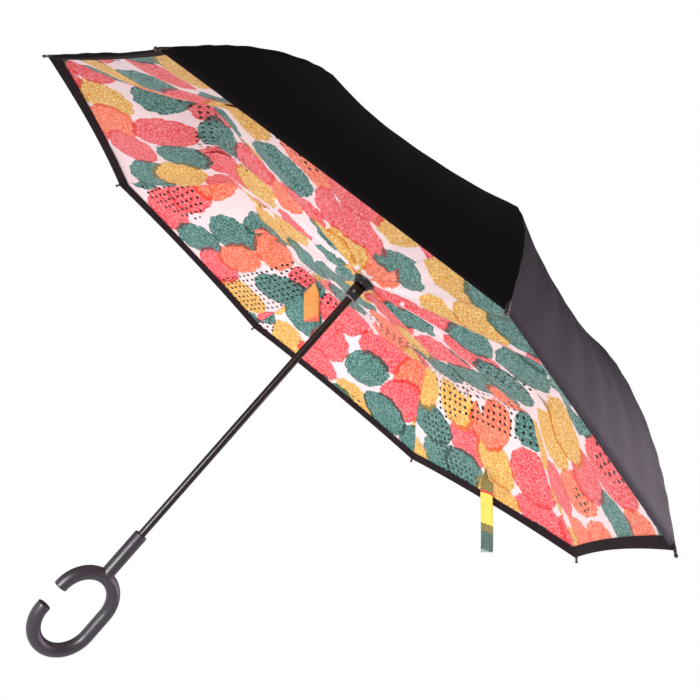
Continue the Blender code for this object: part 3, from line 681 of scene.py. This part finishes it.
def lathe(name, points, material, bevel=0.0):
    """A turned solid from its half outline, from the top down the outer side."""
    count = len(points)
    vertices, faces = [], []
    for i in range(LATHE_STEPS):
        angle = 2.0 * math.pi * i / LATHE_STEPS
        vertices += [(r * math.cos(angle), r * math.sin(angle), z) for r, z in points]
    for i in range(LATHE_STEPS):
        after = (i + 1) % LATHE_STEPS
        for j in range(count):
            below = (j + 1) % count
            faces.append((i * count + j, i * count + below, after * count + below, after * count + j))
    made = new_object(name, solid_mesh(name, vertices, faces, weld=True), material)
    if bevel:
        edge = made.modifiers.new("edge", "BEVEL")
        edge.width = bevel
        edge.segments = BEVEL_SEGMENTS
        edge.limit_method = "ANGLE"
        edge.angle_limit = BEVEL_ANGLE
        edge.harden_normals = True
    return made


def swept(name, path, radius, material):
    """A round tube along a path in the XZ plane, with rounded end edges."""
    across = Vector((0.0, 1.0, 0.0))
    rings = []
    places = [Vector((x, 0.0, z)) for x, z in path]
    for i, place in enumerate(places):
        before, after = places[max(i - 1, 0)], places[min(i + 1, len(places) - 1)]
        along = (after - before).normalized()
        rings.append((place, along.cross(across), along, radius))
    for end, sign in ((0, -1.0), (-1, 1.0)):
        place, side, along, r = rings[end]
        caps = [(place + along * sign * (END_ROUND * math.sin(a) - END_ROUND), side, along,
                 r - END_ROUND * (1.0 - math.cos(a))) for a in END_ANGLES]
        rings = (caps[::-1] + rings[1:]) if end == 0 else (rings[:-1] + caps)
    around = TUBE_SIDES
    vertices, faces = [], []
    for place, side, along, r in rings:
        for j in range(around):
            a = 2.0 * math.pi * j / around
            vertices.append(tuple(place + (side * math.cos(a) + across * math.sin(a)) * r))
    for i in range(len(rings) - 1):
        for j in range(around):
            after = (j + 1) % around
            faces.append((i * around + j, i * around + after, (i + 1) * around + after, (i + 1) * around + j))
    faces.append(tuple(range(around))[::-1])
    faces.append(tuple((len(rings) - 1) * around + j for j in range(around)))
    return new_object(name, solid_mesh(name, vertices, faces), material)


def arc_points(x, z, radius, start, end, steps):
    return [(x + radius * math.cos(start + (end - start) * i / steps),
             z + radius * math.sin(start + (end - start) * i / steps)) for i in range(steps + 1)]


def make_handle():
    radius = GRIP_ARC_R
    straight = GRIP_HALF_HEIGHT - radius
    path = [(-radius, MOUTH_TOP_Z), (-radius, MOUTH_TOP_Z + MOUTH_RUN)]
    path += arc_points(0.0, straight, radius, math.pi, 0.0, GRIP_ARC_STEPS)
    path += [(radius, straight - 2.0 * straight * i / GRIP_RUN_STEPS) for i in range(1, GRIP_RUN_STEPS)]
    path += arc_points(0.0, -straight, radius, 0.0, -math.pi, GRIP_ARC_STEPS)
    path += [(-radius, MOUTH_BOTTOM_Z - MOUTH_RUN), (-radius, MOUTH_BOTTOM_Z)]
    grip = swept("grip", path, GRIP_TUBE_R, GRIP)
    grip.data.transform(Matrix.Rotation(GRIP_TURN, 4, "Z"))
    neck = lathe("grip_neck", NECK_OUTLINE, GRIP)
    for piece in (grip, neck):
        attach(piece, "shaft_frame")
        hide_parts("handle")


def lifted(points, z):
    return [(r, h + z) for r, h in points]


def make_turned_parts():
    top = CROWN_Z + SHAFT_PAST_CROWN
    shaft = lathe("shaft_tube", [
        (SHAFT_BORE_R, top), (SHAFT_R, top), (SHAFT_R, SHAFT_FOOT_Z), (SHAFT_BORE_R, SHAFT_FOOT_Z),
    ], SHAFT, bevel=EDGE_BEVEL)
    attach(shaft, "shaft_frame")
    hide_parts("shaft")
    cap = lathe("cap_moulding", lifted(CAP_OUTLINE, CROWN_Z + CAP_ABOVE_CROWN), BLACK)
    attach(cap, "shaft_frame")
    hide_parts("top_cap")
    ring = lathe("runner_flare", lifted(FLARE_OUTLINE, RIM_Z), BLACK)
    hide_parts("runner_ring")
    skin = lathe("runner_skin", lifted(SKIN_OUTLINE, RIM_Z), BLACK)
    lip = lathe("runner_lip", lifted(LIP_OUTLINE, RIM_Z), LIP)
    for piece in (ring, skin, lip):
        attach(piece, "runner")


def paint(material, *names):
    for name in names:
        for slot in NODES[name].material_slots:
            slot.material = material


def ribbon(name, material, body, node, centres, sides, half_width, length, thick, fringe=0.0):
    """A narrow tape along a row of centres, each with the direction across the tape there."""
    columns, rows = RIBBON_COLUMNS, len(centres)
    vertices, faces, flats = [], [], []
    for i, (centre, across) in enumerate(zip(centres, sides)):
        along = (centres[min(i + 1, rows - 1)] - centres[max(i - 1, 0)]).normalized()
        out = across.cross(along).normalized()
        for j in range(columns):
            share = 2.0 * j / (columns - 1) - 1.0
            cup = out * (RIBBON_CUP * half_width * (1.0 - share * share))
            tail = along * (fringe * (j % 2)) if i == rows - 1 else Vector()
            vertices.append(tuple(centre + across * (half_width * share) + cup + tail))
            flats.append((half_width * share, length * i / (rows - 1)))
    for i in range(rows - 1):
        for j in range(columns - 1):
            first, second = i * columns + j, (i + 1) * columns + j
            faces.append((first, second, second + 1, first + 1))
    mesh = bpy.data.meshes.new(name)
    mesh.from_pydata(vertices, [], faces)
    plane, seam = mesh.uv_layers.new(name="plane"), mesh.uv_layers.new(name="seam")
    for loop in mesh.loops:
        u, v = flats[loop.vertex_index]
        plane.data[loop.index].uv = (u, v)
        seam.data[loop.index].uv = (half_width - abs(u) + RIBBON_SEAM, v)
    made = new_object(name, mesh, material)
    depth = made.modifiers.new("thickness", "SOLIDIFY")
    depth.thickness = thick
    depth.offset = 0.0
    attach(made, body)
    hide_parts(node)
    return made


def make_strap(name, material, body, node, root, sewn, length, half_width, turn_share):
    """A strap sewn flat to the lining at its root, that turns to the camera as it leaves the cloth."""
    hanging = ACROSS if sewn.dot(ACROSS) > 0.0 else -ACROSS
    centres, sides = [], []
    for i in range(STRAP_ROWS):
        share = i / (STRAP_ROWS - 1)
        turn = min(1.0, share / turn_share)
        turn = turn * turn * (3.0 - 2.0 * turn)
        across = sewn.lerp(hanging, turn).normalized()
        ripple = STRAP_WAVE * math.sin(share * 6.0) * min(1.0, 3.0 * share)
        centres.append(root + DOWN * (length * share) + across.cross(DOWN).normalized() * ripple)
        sides.append((across - DOWN * across.dot(DOWN) * turn).normalized())
    strap = ribbon(name, material, body, node, centres, sides, half_width, length, STRAP_THICK, STRAP_FRINGE)
    squash_to_rib(strap)


def make_soft_trim():
    make_strap("rim_ribbon", RIM_RIBBON, "rim_strap_body", "rim_strap",
               root=Vector((0.17997, 0.37395, RIM_Z + 0.02826)), sewn=Vector((0.39048, 0.81136, -0.43498)),
               length=0.1300, half_width=0.0100, turn_share=0.22)
    make_strap("mid_ribbon", MID_RIBBON, "mid_strap_body", "mid_strap",
               root=Vector((-0.23547, 0.23547, RIM_Z + 0.0973)), sewn=Vector((-0.63926, 0.63926, -0.42744)),
               length=0.0640, half_width=0.0140, turn_share=0.35)
    for k in range(RIBS):
        number = k + 1
        out = Vector((math.cos(k * STEP), math.sin(k * STEP), 0.0))
        across = Vector((-out.y, out.x, 0.0))
        centres = []
        for i in range(TIE_ROWS):
            share = i / (TIE_ROWS - 1)
            centres.append(out * (FLEX_R + TIE_PAST_ELBOW + TIE_WAVE * math.sin(share * 6.3))
                           + Vector((0.0, 0.0, RIM_Z + FLEX_Z + TIE_ABOVE_ROD - TIE_LENGTH * share)))
        ribbon("tie_tape_%d" % number, TAPE, "rod_arm_%d" % number, "lining_tie_%d" % number,
               centres, [across] * TIE_ROWS, TIE_HALF_WIDTH, TIE_LENGTH, TIE_THICK)


# Camera, lights and stage

def make_camera():
    data = bpy.data.cameras.new("camera")
    camera = bpy.data.objects.new("camera", data)
    bpy.context.scene.collection.objects.link(camera)
    right = Vector(CAMERA_RIGHT).normalized()
    back = -Vector(CAMERA_AHEAD).normalized()
    up = back.cross(right).normalized()
    turn = Matrix((right, up, back)).transposed().to_4x4()
    camera.matrix_world = Matrix.Translation(CAMERA_PLACE) @ turn
    data.sensor_width = SENSOR_MM
    data.lens = SENSOR_MM * FOCAL_PX / FRAME_PX
    data.shift_x = (FRAME_PX / 2.0 - CENTRE_PX[0]) / FRAME_PX
    data.shift_y = (CENTRE_PX[1] - FRAME_PX / 2.0) / FRAME_PX
    data.clip_start = 0.05
    data.clip_end = 60.0
    bpy.context.scene.camera = camera


def area_light(name, place, target, size, power, colour=(1.0, 1.0, 1.0), spread=180.0):
    data = bpy.data.lights.new(name, "AREA")
    data.spread = math.radians(spread)
    data.size = size
    data.energy = power
    data.color = colour
    lamp = bpy.data.objects.new(name, data)
    bpy.context.scene.collection.objects.link(lamp)
    lamp.location = place
    lamp.rotation_mode = "QUATERNION"
    lamp.rotation_quaternion = (Vector(target) - Vector(place)).to_track_quat("-Z", "Y")


def shown_white(tree, output, strength, in_gloss):
    """White to the camera, through glass and perhaps in gloss. The rest gets light of this strength."""
    kind = "ShaderNodeBackground" if output == "World Output" else "ShaderNodeEmission"
    seen = put(tree, kind, {0: (1.0, 1.0, 1.0, 1.0), 1: 1.0})
    cast = put(tree, kind, {0: (1.0, 0.985, 0.99, 1.0), 1: strength})
    path = put(tree, "ShaderNodeLightPath").outputs
    shown = calc(tree, "MAXIMUM", path["Is Camera Ray"], path["Is Transmission Ray"])
    if in_gloss:
        shown = calc(tree, "MAXIMUM", shown, path["Is Glossy Ray"])
    both = put(tree, "ShaderNodeMixShader", {0: shown, 1: cast.outputs[0], 2: seen.outputs[0]})
    tree.links.new(both.outputs[0], tree.nodes[output].inputs[0])


def make_stage():
    """The world stays out of gloss, where its white would turn the black cloth grey."""
    scene = bpy.context.scene
    scene.view_settings.view_transform = "Standard"
    scene.world = bpy.data.worlds.new("studio")
    scene.world.use_nodes = True
    shown_white(scene.world.node_tree, "World Output", WORLD_LIGHT, in_gloss=False)
    mesh = bpy.data.meshes.new("floor")
    square = [(x * FLOOR_REACH, y * FLOOR_REACH, FLOOR_Z) for x, y in ((-1, -1), (1, -1), (1, 1), (-1, 1))]
    mesh.from_pydata(square, [], [(0, 1, 2, 3)])
    floor = bpy.data.objects.new("floor", mesh)
    scene.collection.objects.link(floor)
    material, tree, _ = new_material("floor")
    place = put(tree, "ShaderNodeSeparateXYZ", {0: put(tree, "ShaderNodeNewGeometry").outputs["Position"]})
    across = calc(tree, "MULTIPLY_ADD", place.outputs[0], -0.5, place.outputs[1])
    glow = put(tree, "ShaderNodeMapRange", {0: across, 1: -1.0, 2: 1.0, 3: FLOOR_LIGHT[0], 4: FLOOR_LIGHT[1]})
    shown_white(tree, "Material Output", glow.outputs[0], in_gloss=True)
    mesh.materials.append(material)
    area_light("front", (-0.30, -1.90, 0.05), (0.0, 0.0, 0.55), size=1.0, power=5.0)
    area_light("grip", (0.30, -1.85, 0.02), (0.0, 0.0, 0.03), size=0.6, power=6.5, spread=62.0)
    area_light("behind", (1.45, 1.30, 1.45), (0.25, -0.05, 0.62), size=2.1, power=62.0, colour=(1.0, 0.83, 1.0))


make_camera()
make_stage()
make_canopy()
make_handle()
make_turned_parts()
make_soft_trim()
paint(BLACK, "runner_sleeve", "runner_button", "crown")
paint(WIRE, "runner_wire", "crown_wire")
for number in range(1, RIBS + 1):
    paint(STEEL, "rib_%d" % number, "stretcher_%d" % number)
    paint(FIBRE, "rod_%d" % number)
    paint(TIP, "tip_%d" % number)
